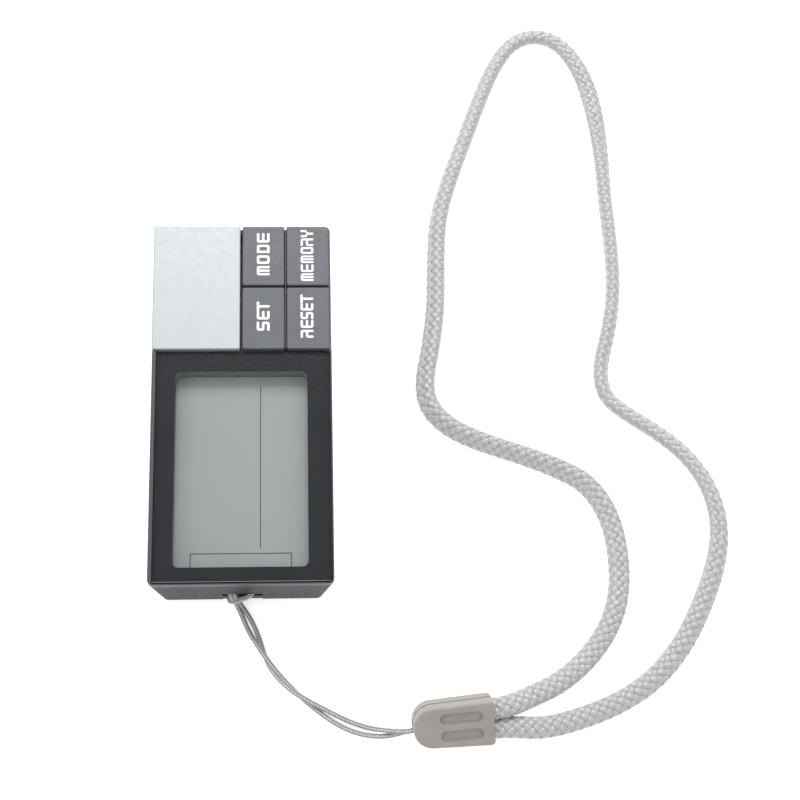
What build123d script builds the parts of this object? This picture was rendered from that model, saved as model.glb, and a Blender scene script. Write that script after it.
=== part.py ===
from build123d import *
from math import cos, pi, radians, sin, tan
import os

# Handheld digital timer with a wrist cord. Millimetres, +Z up out of the display, +Y towards the keys.
# Origin: centre of the back face that the timer lies on.

# ---- driving dimensions ---------------------------------------------------------------------------
LENGTH = 77.6
WIDTH = 37.1
BASE_WIDTH = 32.6
HEIGHT = 14.0
PARTING_Z = 12.0
WALL = 1.3
FLOOR = 1.2
CORNER = 1.2

HALF_LENGTH = LENGTH / 2
HALF_WIDTH = WIDTH / 2
INNER_END = HALF_LENGTH - WALL

# window and display
RIM_LEFT = 0.8
RIM_RIGHT = 0.3
RIM_END = 0.22
FRAME_TOP_Y = 10.7
LENS_THICKNESS = 1.15
MASK_THICKNESS = 0.15
LENS_GAP = 0.05
LENS_END_GAP = 0.3
SEAT_Z = HEIGHT - LENS_THICKNESS - MASK_THICKNESS - 0.04
POCKET_X0 = -HALF_WIDTH + RIM_LEFT
POCKET_X1 = HALF_WIDTH - RIM_RIGHT
POCKET_Y0 = -HALF_LENGTH + RIM_END
OPENING_X0 = -13.75
OPENING_X1 = 13.5
OPENING_Y0 = -35.05
OPENING_Y1 = 6.5
OPENING_CORNER = 1.3
LEDGE_Z = 9.5
PLUG_HALF_X = 16.6
PLUG_END_Y = -37.3

# display stack, from the polariser under the ledge down to the board
POLARISER = 0.2
GLASS = 0.7
LCD_TOP_Z = LEDGE_Z - 0.05
LCD_HALF_X = 14.7
LCD_Y0 = -36.5
LCD_Y1 = 8.8
LCD_REAR_Y1 = 6.7
FRONT_GLASS_Z = LCD_TOP_Z - POLARISER - GLASS
REAR_GLASS_Z = FRONT_GLASS_Z - GLASS
REFLECTOR_Z = REAR_GLASS_Z - POLARISER
HOLDER_HALF_X = 15.6
HOLDER_Y0 = -37.0
HOLDER_Y1 = 9.3
HOLDER_LIP = 0.6
HOLDER_LIP_HALF_X = 13.5
ZEBRA_Y0 = 7.0
ZEBRA_Y1 = 8.7

# circuit board
BOARD_Z = 5.6
BOARD_THICKNESS = 1.0
BOARD_TOP = BOARD_Z + BOARD_THICKNESS
BOARD_HALF_X = 15.3
BOARD_Y0 = -32.0
BOARD_Y1 = 37.0
BLOB_SPHERE = 9.0
BLOB_HEIGHT = 0.95
CRYSTAL_RADIUS = 0.7
CRYSTAL_LENGTH = 5.0

# keys
KEY_TRAVEL = 0.5
KEY_BOTTOM_Y = 10.95
KEY_SPLIT_Y = 25.0
KEY_SPLIT_X = -0.23
KEY_COLUMN_X = 9.05
KEY_GAP = 0.42
KEY_EDGE = 0.28
KEY_OVERHANG = 0.12
KEY_PAD_EDGE = 0.6
KEY_PAD_CORNER = 1.2
DIVIDER = 0.2
DIVIDER_TOP_Z = 13.35
DIVIDER_CROSS_Z = 13.0
CAP_BOTTOM_Z = PARTING_Z + 0.6
DECK_Z = 9.4
DECK_TOP = 10.4
DECK_HALF_X = 16.3
DECK_END_Y = 37.2
SKIRT_BOTTOM_Z = DECK_TOP + 0.55
SKIRT_HALF_X = 16.4
SKIRT_END_Y = 37.0
SKIRT_WALL = 0.9
SKIRT_INSET = 0.4
STEM_RADIUS = 1.5
STEM_CLEARANCE = 0.2
DOME_HEIGHT = 0.7
DOME_RADIUS = 3.0
DOME_METAL = 0.12
STEM_BOTTOM_Z = BOARD_TOP + DOME_HEIGHT + 0.05
HOOK_WIDTH = 1.6
HOOK_DEPTH = 0.8
HOOK_BARB = 0.4
HOOK_BOTTOM_Z = 8.5
HOOK_SLACK = 0.15

# fasteners
SCREW_RADIUS = 0.8
SCREW_HEAD_RADIUS = 1.45
SCREW_HEAD = 1.0
CASE_SCREW_X = 13.4
CASE_SCREW_YS = (12.9, 35.1)
CASE_BOSS_RADIUS = 2.2
BOARD_SCREW_RADIUS = 0.65
BOARD_SCREW_HEAD_RADIUS = 1.25
BOARD_SCREW_HEAD = 0.7
BOARD_SCREWS = ((9.05, 25.0), (-0.23, 35.6), (-0.23, 14.2))

# battery bay
CELL_RADIUS = 10.0
CELL_THICKNESS = 3.2
CELL_CENTRE_Y = -8.0
BAY_RADIUS = CELL_RADIUS + 0.3
BAY_WALL = 0.8
DOOR_HALF_X = 12.0
DOOR_HALF_Y = 15.0
DOOR_THICKNESS = 0.95
DOOR_CORNER = 2.0
DOOR_GAP = 0.15
DOOR_SEAT_Z = 1.0
DOOR_SEAT = 1.0
DOOR_SCREW_OFFSET = 12.8
DOOR_BOSS_RADIUS = 1.9

# cord eye in the case's end
EYE_HALF_X = 4.1
EYE_SLOT_Z0 = 3.55
EYE_SLOT_Z1 = 5.05
EYE_BAR = 2.4
EYE_BAR_Z0 = 1.1
EYE_POCKET = 2.8
EYE_WALL = 0.8

# clip: its mouth's centre, heading, roll and size
CLIP_MOUTH = (50.1, -64.62, 4.68)
CLIP_HEADING = 4.4
CLIP_ROLL = 30.0
CLIP_LENGTH = 16.2
CLIP_WIDTH = 9.3
CLIP_NOSE_WIDTH = 8.1
CLIP_THICKNESS = 5.8
CLIP_EDGE = 0.5
CLIP_NOSE = 3.95
CLIP_MOUTH_CORNER = 0.8
CLIP_GROOVE = 0.22
CLIP_CAVITY_WIDTH = 7.3
CLIP_CAVITY_THICKNESS = 3.7
CLIP_CAVITY_DEPTH = 7.4
CLIP_KNOT_BACK = 10.5
CLIP_KNOT_RADIUS = 1.7
CLIP_NOSE_HOLE = 3.1
CLIP_NOSE_HOLE_OFFSET = -0.55
CLIP_NOSE_HOLE_HEIGHT = 1.3
CLIP_RECESS = (8.2, 1.8, 0.5)
CLIP_RECESS_CENTRE = -6.6
CLIP_RECESS_OFFSET = 1.78
CLIP_RECESS_EDGE = 0.24

# cords
STRING_DIAMETER = 0.88
CORD_DIAMETER = 3.5
ARC_SHARE = 0.45


# clearances and overshoots that many parts share
CUT = 0.1
STACK_GAP = 0.02
SEAT_GAP = 0.05


# ---- small helpers --------------------------------------------------------------------------------
def block(x0, x1, y0, y1, z0, z1):
    """Box from its two corners."""
    return Pos(x0, y0, z0) * Box(x1 - x0, y1 - y0, z1 - z0, align=(Align.MIN, Align.MIN, Align.MIN))


def post(x, y, z0, z1, radius):
    """Upright cylinder."""
    low = (Align.CENTER, Align.CENTER, Align.MIN)
    return Pos(x, y, z0) * Cylinder(radius, z1 - z0, align=low)


def slab(x0, x1, y0, y1, z0, z1, radius):
    """Box with rounded upright edges."""
    outline = RectangleRounded(x1 - x0, y1 - y0, radius)
    return Pos((x0 + x1) / 2, (y0 + y1) / 2, z0) * extrude(outline, amount=z1 - z0)


def prism_along_y(half_base, half_top, z0, z1, y0, y1):
    """Bar along Y whose section is a trapezium that widens upwards."""
    outline = Polyline((-half_base, z0), (half_base, z0), (half_top, z1), (-half_top, z1), close=True)
    bar = extrude(Plane.XZ * make_face(outline), amount=y1 - y0)
    return Pos(0, y1, 0) * bar


def leaf(points, thickness, width, place):
    """Bent strip: an open line in the YZ plane given a thickness, and a width along X."""
    strip = offset(Polyline(*points), thickness / 2, kind=Kind.INTERSECTION)
    return place * extrude(Plane.YZ * make_face(strip), amount=width / 2, both=True)


def case_half_width(z):
    """Outer half width of the tapered case at a height."""
    return BASE_WIDTH / 2 + (HALF_WIDTH - BASE_WIDTH / 2) * z / PARTING_Z


# ---- case -----------------------------------------------------------------------------------------
def rear_case():
    body = prism_along_y(BASE_WIDTH / 2, HALF_WIDTH, 0, PARTING_Z, -HALF_LENGTH, HALF_LENGTH)
    slanted = [e for e in body.edges() if abs((e % 0.5).Z) > 0.5]
    body = fillet(slanted, CORNER)
    body = fillet(body.edges().group_by(Axis.Z)[0], 0.5)
    inner_low = case_half_width(FLOOR) - WALL
    inner_high = HALF_WIDTH - WALL
    body -= prism_along_y(inner_low, inner_high, FLOOR, PARTING_Z + 0.01, -INNER_END, INNER_END)

    # thickened seat for the battery door, ring round the cell
    door_x = DOOR_HALF_X + 1.3
    door_y = DOOR_HALF_Y + 1.3
    low = CELL_CENTRE_Y - door_y
    high = CELL_CENTRE_Y + door_y
    body += slab(-door_x, door_x, low, high, 0.5, DOOR_SEAT_Z + DOOR_SEAT, DOOR_CORNER)
    body += post(0, CELL_CENTRE_Y, FLOOR, BOARD_Z - 0.3, BAY_RADIUS + BAY_WALL)
    for side in (-1, 1):
        body += post(0, CELL_CENTRE_Y + side * DOOR_SCREW_OFFSET, FLOOR, BOARD_Z - 0.3, DOOR_BOSS_RADIUS)
    gap = DOOR_GAP
    body -= slab(-DOOR_HALF_X - gap, DOOR_HALF_X + gap, CELL_CENTRE_Y - DOOR_HALF_Y - gap,
                 CELL_CENTRE_Y + DOOR_HALF_Y + gap, -CUT, DOOR_SEAT_Z, DOOR_CORNER)
    body -= post(0, CELL_CENTRE_Y, 0, BOARD_Z, BAY_RADIUS)
    for side in (-1, 1):
        y = CELL_CENTRE_Y + side * DOOR_SCREW_OFFSET
        body -= post(0, y, 0, BOARD_Z - 1.0, SCREW_RADIUS + SEAT_GAP)
    # way through the bay's wall for the positive contact
    body -= block(BAY_RADIUS - 1.5, BAY_RADIUS + BAY_WALL + 0.2, CELL_CENTRE_Y - 2.4,
                  CELL_CENTRE_Y + 2.4, 2.3, BOARD_Z)

    # screw bosses
    for x in (-CASE_SCREW_X, CASE_SCREW_X):
        for y in CASE_SCREW_YS:
            body += post(x, y, FLOOR - 0.2, BOARD_Z - SEAT_GAP, CASE_BOSS_RADIUS)
            body -= post(x, y, -CUT, BOARD_Z, SCREW_RADIUS + CUT)
            body -= post(x, y, -CUT, 1.6, SCREW_HEAD_RADIUS + 0.15)

    # sound holes over the buzzer
    for turn in range(3):
        angle = radians(90 + 120 * turn)
        body -= post(2.2 * cos(angle), 24 + 2.2 * sin(angle), -CUT, FLOOR + CUT, 0.55)

    # cord eye: a walled pocket open to the back, a slot in the end wall and the bar between them
    bar_y = -HALF_LENGTH + EYE_BAR
    pocket_y = bar_y + EYE_POCKET
    body += block(-EYE_HALF_X - EYE_WALL, EYE_HALF_X + EYE_WALL, -INNER_END - CUT,
                  pocket_y + EYE_WALL, FLOOR - 0.2, EYE_SLOT_Z1 + 0.5)
    body -= block(-EYE_HALF_X, EYE_HALF_X, bar_y, pocket_y, -CUT, EYE_SLOT_Z1)
    body -= block(-EYE_HALF_X, EYE_HALF_X, -HALF_LENGTH - CUT, bar_y + CUT, EYE_SLOT_Z0, EYE_SLOT_Z1)
    body -= block(-EYE_HALF_X, EYE_HALF_X, -HALF_LENGTH - CUT, bar_y + CUT, -CUT, EYE_BAR_Z0)
    return body


def front_frame():
    rim = slab(-HALF_WIDTH, HALF_WIDTH, -HALF_LENGTH, FRAME_TOP_Y + CORNER, PARTING_Z, HEIGHT, CORNER)
    rim -= block(-HALF_WIDTH - 1, HALF_WIDTH + 1, FRAME_TOP_Y, FRAME_TOP_Y + 3, PARTING_Z - 1, HEIGHT + 1)
    rim = fillet(rim.edges().group_by(Axis.Z)[-1], 0.25)
    rim -= slab(POCKET_X0, POCKET_X1, POCKET_Y0, FRAME_TOP_Y + 1, SEAT_Z, HEIGHT + CUT, 0.4)
    frame = rim + block(-PLUG_HALF_X, PLUG_HALF_X, PLUG_END_Y, FRAME_TOP_Y, LEDGE_Z, PARTING_Z + CUT)
    frame += block(-DECK_HALF_X, DECK_HALF_X, HOLDER_Y1 + CUT, FRAME_TOP_Y, DECK_Z, PARTING_Z + CUT)
    frame -= slab(OPENING_X0, OPENING_X1, OPENING_Y0, OPENING_Y1, LEDGE_Z - CUT, HEIGHT, OPENING_CORNER)
    frame += block(-DECK_HALF_X, DECK_HALF_X, HOLDER_Y1 + CUT, DECK_END_Y, DECK_Z, DECK_TOP)
    # thin dividers that stand in the gaps between the four small keys
    half = DIVIDER / 2
    low = DECK_TOP - 0.1
    frame += block(KEY_COLUMN_X - half, KEY_COLUMN_X + half, KEY_BOTTOM_Y + 0.3, DECK_END_Y, low, DIVIDER_TOP_Z)
    frame += block(KEY_COLUMN_X - half, KEY_COLUMN_X + half, DECK_END_Y - CUT, HALF_LENGTH - 0.4,
                   PARTING_Z + SEAT_GAP, DIVIDER_TOP_Z)
    frame += block(KEY_SPLIT_X + 0.4, DECK_HALF_X, KEY_SPLIT_Y - half, KEY_SPLIT_Y + half, low, DIVIDER_CROSS_Z)
    for x in (-CASE_SCREW_X, CASE_SCREW_X):
        for y in CASE_SCREW_YS:
            frame += post(x, y, BOARD_TOP + SEAT_GAP, DECK_Z + CUT, CASE_BOSS_RADIUS)
            frame -= post(x, y, BOARD_TOP, DECK_TOP - 0.5, SCREW_RADIUS + STACK_GAP)
    for x, y in BOARD_SCREWS:
        frame += post(x, y, BOARD_TOP + SEAT_GAP, DECK_Z + CUT, 1.7)
        frame -= post(x, y, BOARD_TOP, DECK_TOP - 0.5, BOARD_SCREW_RADIUS + STACK_GAP)
    for key in KEYS:
        x, y = key["stem"]
        frame -= post(x, y, DECK_Z - CUT, DECK_TOP + CUT, STEM_RADIUS + STEM_CLEARANCE)
        for hook_x, hook_y, outward in hooks_of(key):
            side = HOOK_WIDTH / 2 + HOOK_SLACK
            near = hook_x - HOOK_DEPTH / 2 - HOOK_SLACK
            far = hook_x + HOOK_DEPTH / 2 + HOOK_SLACK
            frame -= block(near, far, hook_y - side, hook_y + side, DECK_Z - CUT, DECK_TOP + CUT)
    return frame


def case_screws():
    screws = []
    for x in (-CASE_SCREW_X, CASE_SCREW_X):
        for y in CASE_SCREW_YS:
            screws.append(screw(x, y, 0.6, SCREW_HEAD, DECK_Z + 0.3, SCREW_RADIUS, SCREW_HEAD_RADIUS))
    return Compound(children=screws)


def screw(x, y, z0, head, z1, radius, head_radius):
    """Pan-head screw pointing up, with a cross recess in its head."""
    body = post(x, y, z0, z0 + head, head_radius)
    body = chamfer(body.edges().group_by(Axis.Z)[0], 0.2)
    body += post(x, y, z0 + head - SEAT_GAP, z1, radius)
    for angle in (45, 135):
        arm = Box(head_radius * 1.2, 0.32, 0.5, align=(Align.CENTER, Align.CENTER, Align.MIN))
        body -= Pos(x, y, z0 - 0.01) * Rot(0, 0, angle) * arm
    return body


# ---- window and display ---------------------------------------------------------------------------
def window_sheet(z0, thickness, end_gap):
    """Sheet that fills the pocket in the front frame, with a gap all round and its own gap at the end."""
    return slab(POCKET_X0 + LENS_GAP, POCKET_X1 - LENS_GAP, POCKET_Y0 + end_gap, FRAME_TOP_Y - LENS_GAP,
                z0, z0 + thickness, 0.3)


def window_lens():
    low = SEAT_Z + MASK_THICKNESS + 0.02
    return chamfer(window_sheet(low, LENS_THICKNESS, LENS_END_GAP).edges().group_by(Axis.Z)[-1], 0.15)


def window_mask():
    low = SEAT_Z + 0.01
    mask = window_sheet(low, MASK_THICKNESS, LENS_GAP)
    return mask - slab(OPENING_X0, OPENING_X1, OPENING_Y0, OPENING_Y1, low - CUT, HEIGHT, OPENING_CORNER)


def display_layer(y1, z0, thickness, inset):
    return block(-LCD_HALF_X + inset, LCD_HALF_X - inset, LCD_Y0 + inset, y1 - inset, z0, z0 + thickness)


def lcd_holder():
    ring = block(-HOLDER_HALF_X, HOLDER_HALF_X, HOLDER_Y0, HOLDER_Y1, BOARD_TOP + SEAT_GAP, LCD_TOP_Z)
    inner_x = LCD_HALF_X + 0.1
    ring -= block(-inner_x, inner_x, LCD_Y0 - CUT, LCD_Y1 + CUT, BOARD_TOP, LCD_TOP_Z + CUT)
    lip_top = REFLECTOR_Z - 0.02
    lip = block(-inner_x - CUT, inner_x + CUT, LCD_Y0 - 0.2, LCD_REAR_Y1, lip_top - HOLDER_LIP, lip_top)
    lip -= block(-HOLDER_LIP_HALF_X, HOLDER_LIP_HALF_X, LCD_Y0 + 1.0, LCD_REAR_Y1 - 1.0, 0, lip_top + CUT)
    return ring + lip


def zebra_connector():
    return block(-13.2, 13.2, ZEBRA_Y0, ZEBRA_Y1, BOARD_TOP + STACK_GAP, FRONT_GLASS_Z - STACK_GAP)


# ---- circuit board and what it carries ------------------------------------------------------------
def circuit_board():
    board = slab(-BOARD_HALF_X, BOARD_HALF_X, BOARD_Y0, BOARD_Y1, BOARD_Z, BOARD_TOP, 0.8)
    for x in (-CASE_SCREW_X, CASE_SCREW_X):
        for y in CASE_SCREW_YS:
            board -= post(x, y, BOARD_Z - CUT, BOARD_TOP + CUT, SCREW_RADIUS + 0.15)
    for x, y in BOARD_SCREWS:
        board -= post(x, y, BOARD_Z - CUT, BOARD_TOP + CUT, BOARD_SCREW_RADIUS + CUT)
    return board


def controller_blob():
    above = Box(20, 20, 10, align=(Align.CENTER, Align.CENTER, Align.MIN))
    cap = Sphere(BLOB_SPHERE) & Pos(0, 0, BLOB_SPHERE - BLOB_HEIGHT) * above
    return Pos(-2, -12, BOARD_TOP + 0.01 + BLOB_HEIGHT - BLOB_SPHERE) * cap


def quartz_crystal():
    can = Rot(0, 90, 0) * Cylinder(CRYSTAL_RADIUS, CRYSTAL_LENGTH)
    can = fillet(can.edges(), 0.2)
    return Pos(-7.8, 34.5, BOARD_TOP + 0.03 + CRYSTAL_RADIUS) * can


def chips(places, length, width, height):
    made = []
    for x, y in places:
        z = BOARD_TOP + 0.02
        made.append(block(x - length / 2, x + length / 2, y - width / 2, y + width / 2, z, z + height))
    return Compound(children=made)


def board_screws():
    made = []
    for x, y in BOARD_SCREWS:
        z = BOARD_Z - 0.02 - BOARD_SCREW_HEAD
        made.append(screw(x, y, z, BOARD_SCREW_HEAD, DECK_Z + 0.2, BOARD_SCREW_RADIUS,
                          BOARD_SCREW_HEAD_RADIUS))
    return Compound(children=made)


def snap_dome(x, y):
    """Shallow metal dome: the cap of a thin hollow sphere."""
    sphere_radius = (DOME_RADIUS ** 2 + DOME_HEIGHT ** 2) / (2 * DOME_HEIGHT)
    shell = Sphere(sphere_radius) - Sphere(sphere_radius - DOME_METAL)
    shell = Pos(0, 0, DOME_HEIGHT - sphere_radius) * shell
    side = 2 * DOME_RADIUS + 1
    cap = shell & block(-side, side, -side, side, 0, DOME_HEIGHT + 1)
    return Pos(x, y, BOARD_TOP + 0.01) * cap


def buzzer_plate():
    return post(0, 24, FLOOR + STACK_GAP, FLOOR + 0.32, 9.0)


def buzzer_ceramic():
    return post(0, 24, FLOOR + 0.34, FLOOR + 0.54, 6.5)


def buzzer_contacts():
    """Two bent strips from the board's underside down to the buzzer's two faces."""
    made = []
    for x, floor_z in ((-3.0, FLOOR + 0.56), (7.0, FLOOR + 0.34)):
        foot = floor_z + 0.08
        top = BOARD_Z - 0.1
        line = ((-3.0, top), (0.5, top), (2.6, foot), (4.2, foot + 0.5))
        made.append(leaf(line, 0.15, 1.2, Pos(x, 23.4, 0)))
    return Compound(children=made)


def coin_cell():
    z = DOOR_THICKNESS + 0.05
    can = fillet(post(0, CELL_CENTRE_Y, z, z + CELL_THICKNESS - 0.5, CELL_RADIUS).edges(), 0.3)
    return can + post(0, CELL_CENTRE_Y, z + 1, z + CELL_THICKNESS, CELL_RADIUS - 1.4)


def cell_contact_negative():
    top = BOARD_Z - 0.1
    touch = DOOR_THICKNESS + 0.05 + CELL_THICKNESS + 0.1
    line = ((-5.5, top), (-2.5, top), (1.5, touch), (3.0, touch + 0.5))
    return leaf(line, 0.18, 3.0, Pos(0, CELL_CENTRE_Y, 0))


def cell_contact_positive():
    """Upright spring strip beside the cell, with a foot under the board."""
    x = BAY_RADIUS - 0.2
    upright = block(x, x + 0.2, CELL_CENTRE_Y - 1.6, CELL_CENTRE_Y + 1.6, 2.6, BOARD_Z - SEAT_GAP)
    return upright + block(x, x + 2.6, CELL_CENTRE_Y - 1.6, CELL_CENTRE_Y + 1.6, BOARD_Z - 0.25, BOARD_Z - SEAT_GAP)


def battery_door():
    low = CELL_CENTRE_Y - DOOR_HALF_Y
    high = CELL_CENTRE_Y + DOOR_HALF_Y
    door = slab(-DOOR_HALF_X, DOOR_HALF_X, low, high, 0, DOOR_THICKNESS, DOOR_CORNER)
    door = chamfer(door.edges().group_by(Axis.Z)[0], 0.15)
    for side in (-1, 1):
        y = CELL_CENTRE_Y + side * DOOR_SCREW_OFFSET
        door -= post(0, y, -CUT, 0.55, SCREW_HEAD_RADIUS + CUT)
        door -= post(0, y, -CUT, DOOR_THICKNESS + CUT, SCREW_RADIUS + SEAT_GAP)
    return door


def door_screws():
    made = []
    for side in (-1, 1):
        y = CELL_CENTRE_Y + side * DOOR_SCREW_OFFSET
        made.append(screw(0, y, 0.02, 0.5, 4.2, SCREW_RADIUS, SCREW_HEAD_RADIUS))
    return Compound(children=made)


# ---- keys -----------------------------------------------------------------------------------------
LEFT = -HALF_WIDTH - KEY_OVERHANG
RIGHT = HALF_WIDTH - 0.03
TOP = HALF_LENGTH + KEY_OVERHANG
HALF_GAP = KEY_GAP / 2
KEYS = (
    {"name": "start_stop", "x": (LEFT, KEY_SPLIT_X - HALF_GAP), "y": (KEY_BOTTOM_Y, TOP),
     "stem": (-9.4, 24.9), "hook_spread": 3.4, "hook_rows": (-6.5, 6.5), "round": 0.35, "pad": False},
    {"name": "mode", "x": (KEY_SPLIT_X + HALF_GAP, KEY_COLUMN_X - HALF_GAP),
     "y": (KEY_SPLIT_Y + HALF_GAP, TOP), "stem": (4.5, 31.0), "hook_spread": 2.5, "hook_rows": (0,),
     "round": 0.55, "pad": True},
    {"name": "memory", "x": (KEY_COLUMN_X + HALF_GAP, RIGHT), "y": (KEY_SPLIT_Y + HALF_GAP, TOP),
     "stem": (12.9, 30.0), "hook_spread": 2.4, "hook_rows": (0,), "round": 0.55, "pad": True},
    {"name": "set", "x": (KEY_SPLIT_X + HALF_GAP, KEY_COLUMN_X - HALF_GAP),
     "y": (KEY_BOTTOM_Y, KEY_SPLIT_Y - HALF_GAP), "stem": (4.5, 19.0), "hook_spread": 2.5,
     "hook_rows": (0,), "round": 0.55, "pad": True},
    {"name": "reset", "x": (KEY_COLUMN_X + HALF_GAP, RIGHT), "y": (KEY_BOTTOM_Y, KEY_SPLIT_Y - HALF_GAP),
     "stem": (12.9, 19.0), "hook_spread": 2.4, "hook_rows": (0,), "round": 0.55, "pad": True},
)


def hooks_of(key):
    """Places of a key's hooks, each with the side that its barb points to."""
    x, y = key["stem"]
    places = []
    for row in key["hook_rows"]:
        for side in (-1, 1):
            places.append((x + side * key["hook_spread"], y + row, side))
    return places


def small_keys_outline():
    """Block round the four small keys, with the soft outer edges and corner that they share."""
    pad = block(KEY_SPLIT_X - 4, RIGHT, KEY_BOTTOM_Y - 4, TOP, CAP_BOTTOM_Z - CUT, HEIGHT)
    corner = pad.edges().filter_by(Axis.Z).sort_by(lambda e: e.center().X + e.center().Y)[-1]
    pad = fillet(corner, KEY_PAD_CORNER)
    rim = pad.edges().group_by(Axis.Z)[-1]
    outer = [e for e in rim if e.center().X > KEY_COLUMN_X + 4 or e.center().Y > KEY_SPLIT_Y + 4]
    return fillet(outer, KEY_PAD_EDGE)


def key_cap(key):
    x0, x1 = key["x"]
    y0, y1 = key["y"]
    cap = slab(x0, x1, y0, y1, CAP_BOTTOM_Z, HEIGHT, key["round"])
    cap = fillet(cap.edges().group_by(Axis.Z)[-1], KEY_EDGE)
    if key["pad"]:
        cap = cap & small_keys_outline()
    skirt_x0 = max(x0 + SKIRT_INSET, -SKIRT_HALF_X)
    skirt_x1 = min(x1 - SKIRT_INSET, SKIRT_HALF_X)
    skirt_y0 = y0 + SKIRT_INSET
    skirt_y1 = min(y1 - SKIRT_INSET, SKIRT_END_Y)
    cap += block(skirt_x0, skirt_x1, skirt_y0, skirt_y1, SKIRT_BOTTOM_Z, CAP_BOTTOM_Z + CUT)
    wall = SKIRT_WALL
    cap -= block(skirt_x0 + wall, skirt_x1 - wall, skirt_y0 + wall, skirt_y1 - wall,
                 SKIRT_BOTTOM_Z - CUT, CAP_BOTTOM_Z)
    x, y = key["stem"]
    cap += post(x, y, STEM_BOTTOM_Z, CAP_BOTTOM_Z + CUT, STEM_RADIUS)
    for hook_x, hook_y, side in hooks_of(key):
        half = HOOK_WIDTH / 2
        near = hook_x - HOOK_DEPTH / 2
        far = hook_x + HOOK_DEPTH / 2
        cap += block(near, far, hook_y - half, hook_y + half, HOOK_BOTTOM_Z, CAP_BOTTOM_Z + CUT)
        barb_x0 = min(hook_x, hook_x + side * (HOOK_DEPTH / 2 + HOOK_BARB))
        barb_x1 = max(hook_x, hook_x + side * (HOOK_DEPTH / 2 + HOOK_BARB))
        cap += block(barb_x0, barb_x1, hook_y - half, hook_y + half, HOOK_BOTTOM_Z, DECK_Z - 0.06)
    return cap


# ---- clip -----------------------------------------------------------------------------------------
# local frame: X from the nose to the mouth, Y across, Z out of the recessed face
CLIP_PLACE = Pos(*CLIP_MOUTH) * Rot(0, 0, CLIP_HEADING) * Rot(CLIP_ROLL, 0, 0)


def clip_solid():
    half = CLIP_WIDTH / 2
    nose_half = CLIP_NOSE_WIDTH / 2
    outline = Polyline((0, -half), (0, half), (-CLIP_LENGTH, nose_half), (-CLIP_LENGTH, -nose_half), close=True)
    face = make_face(outline)
    nose = face.vertices().group_by(Axis.X)[0]
    face = fillet(nose, CLIP_NOSE)
    face = fillet(face.vertices().group_by(Axis.X)[-1], CLIP_MOUTH_CORNER)
    body = extrude(face, amount=CLIP_THICKNESS / 2, both=True)
    ends = body.edges().group_by(Axis.Z)
    rims = [e for e in list(ends[0]) + list(ends[-1]) if e.center().X < -0.1]
    body = fillet(rims, CLIP_EDGE)
    body -= extrude(face - offset(face, -CLIP_GROOVE), amount=CLIP_GROOVE, both=True)
    body -= Pos(-CLIP_CAVITY_DEPTH / 2, 0, 0) * Box(CLIP_CAVITY_DEPTH + STACK_GAP, CLIP_CAVITY_WIDTH,
                                                   CLIP_CAVITY_THICKNESS)
    body -= Pos(-CLIP_KNOT_BACK, 0, 0) * Cylinder(CLIP_KNOT_RADIUS + 0.4, 3.4)
    tunnel = CLIP_LENGTH - CLIP_CAVITY_DEPTH + 2
    tunnel_x = -CLIP_CAVITY_DEPTH - tunnel / 2 + 1
    body -= Pos(tunnel_x, CLIP_NOSE_HOLE_OFFSET, 0) * Box(tunnel, CLIP_NOSE_HOLE, CLIP_NOSE_HOLE_HEIGHT)
    for side in (-1, 1):
        length, width, depth = CLIP_RECESS
        bar = extrude(SlotOverall(length, width), amount=depth + CUT)
        body -= Pos(CLIP_RECESS_CENTRE, side * CLIP_RECESS_OFFSET, CLIP_THICKNESS / 2 - depth) * bar
        rim = extrude(SlotOverall(length + 2 * CLIP_RECESS_EDGE, width + 2 * CLIP_RECESS_EDGE),
                      amount=CLIP_RECESS_EDGE + CUT)
        body -= Pos(CLIP_RECESS_CENTRE, side * CLIP_RECESS_OFFSET, CLIP_THICKNESS / 2 - CLIP_RECESS_EDGE) * rim
    return body


def clip_shell(side):
    """Half of the clip on one side of its parting plane."""
    half = Box(60, 60, 10, align=(Align.CENTER, Align.CENTER, Align.MIN))
    keep = Pos(0, 0, 0.02) * half if side > 0 else Pos(0, 0, -10.02) * half
    return CLIP_PLACE * (clip_solid() & keep)


def string_knot():
    knot = Sphere(CLIP_KNOT_RADIUS) & Cylinder(CLIP_KNOT_RADIUS + 1, 3.0)
    return CLIP_PLACE * Pos(-CLIP_KNOT_BACK, 0, 0) * knot


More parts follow.
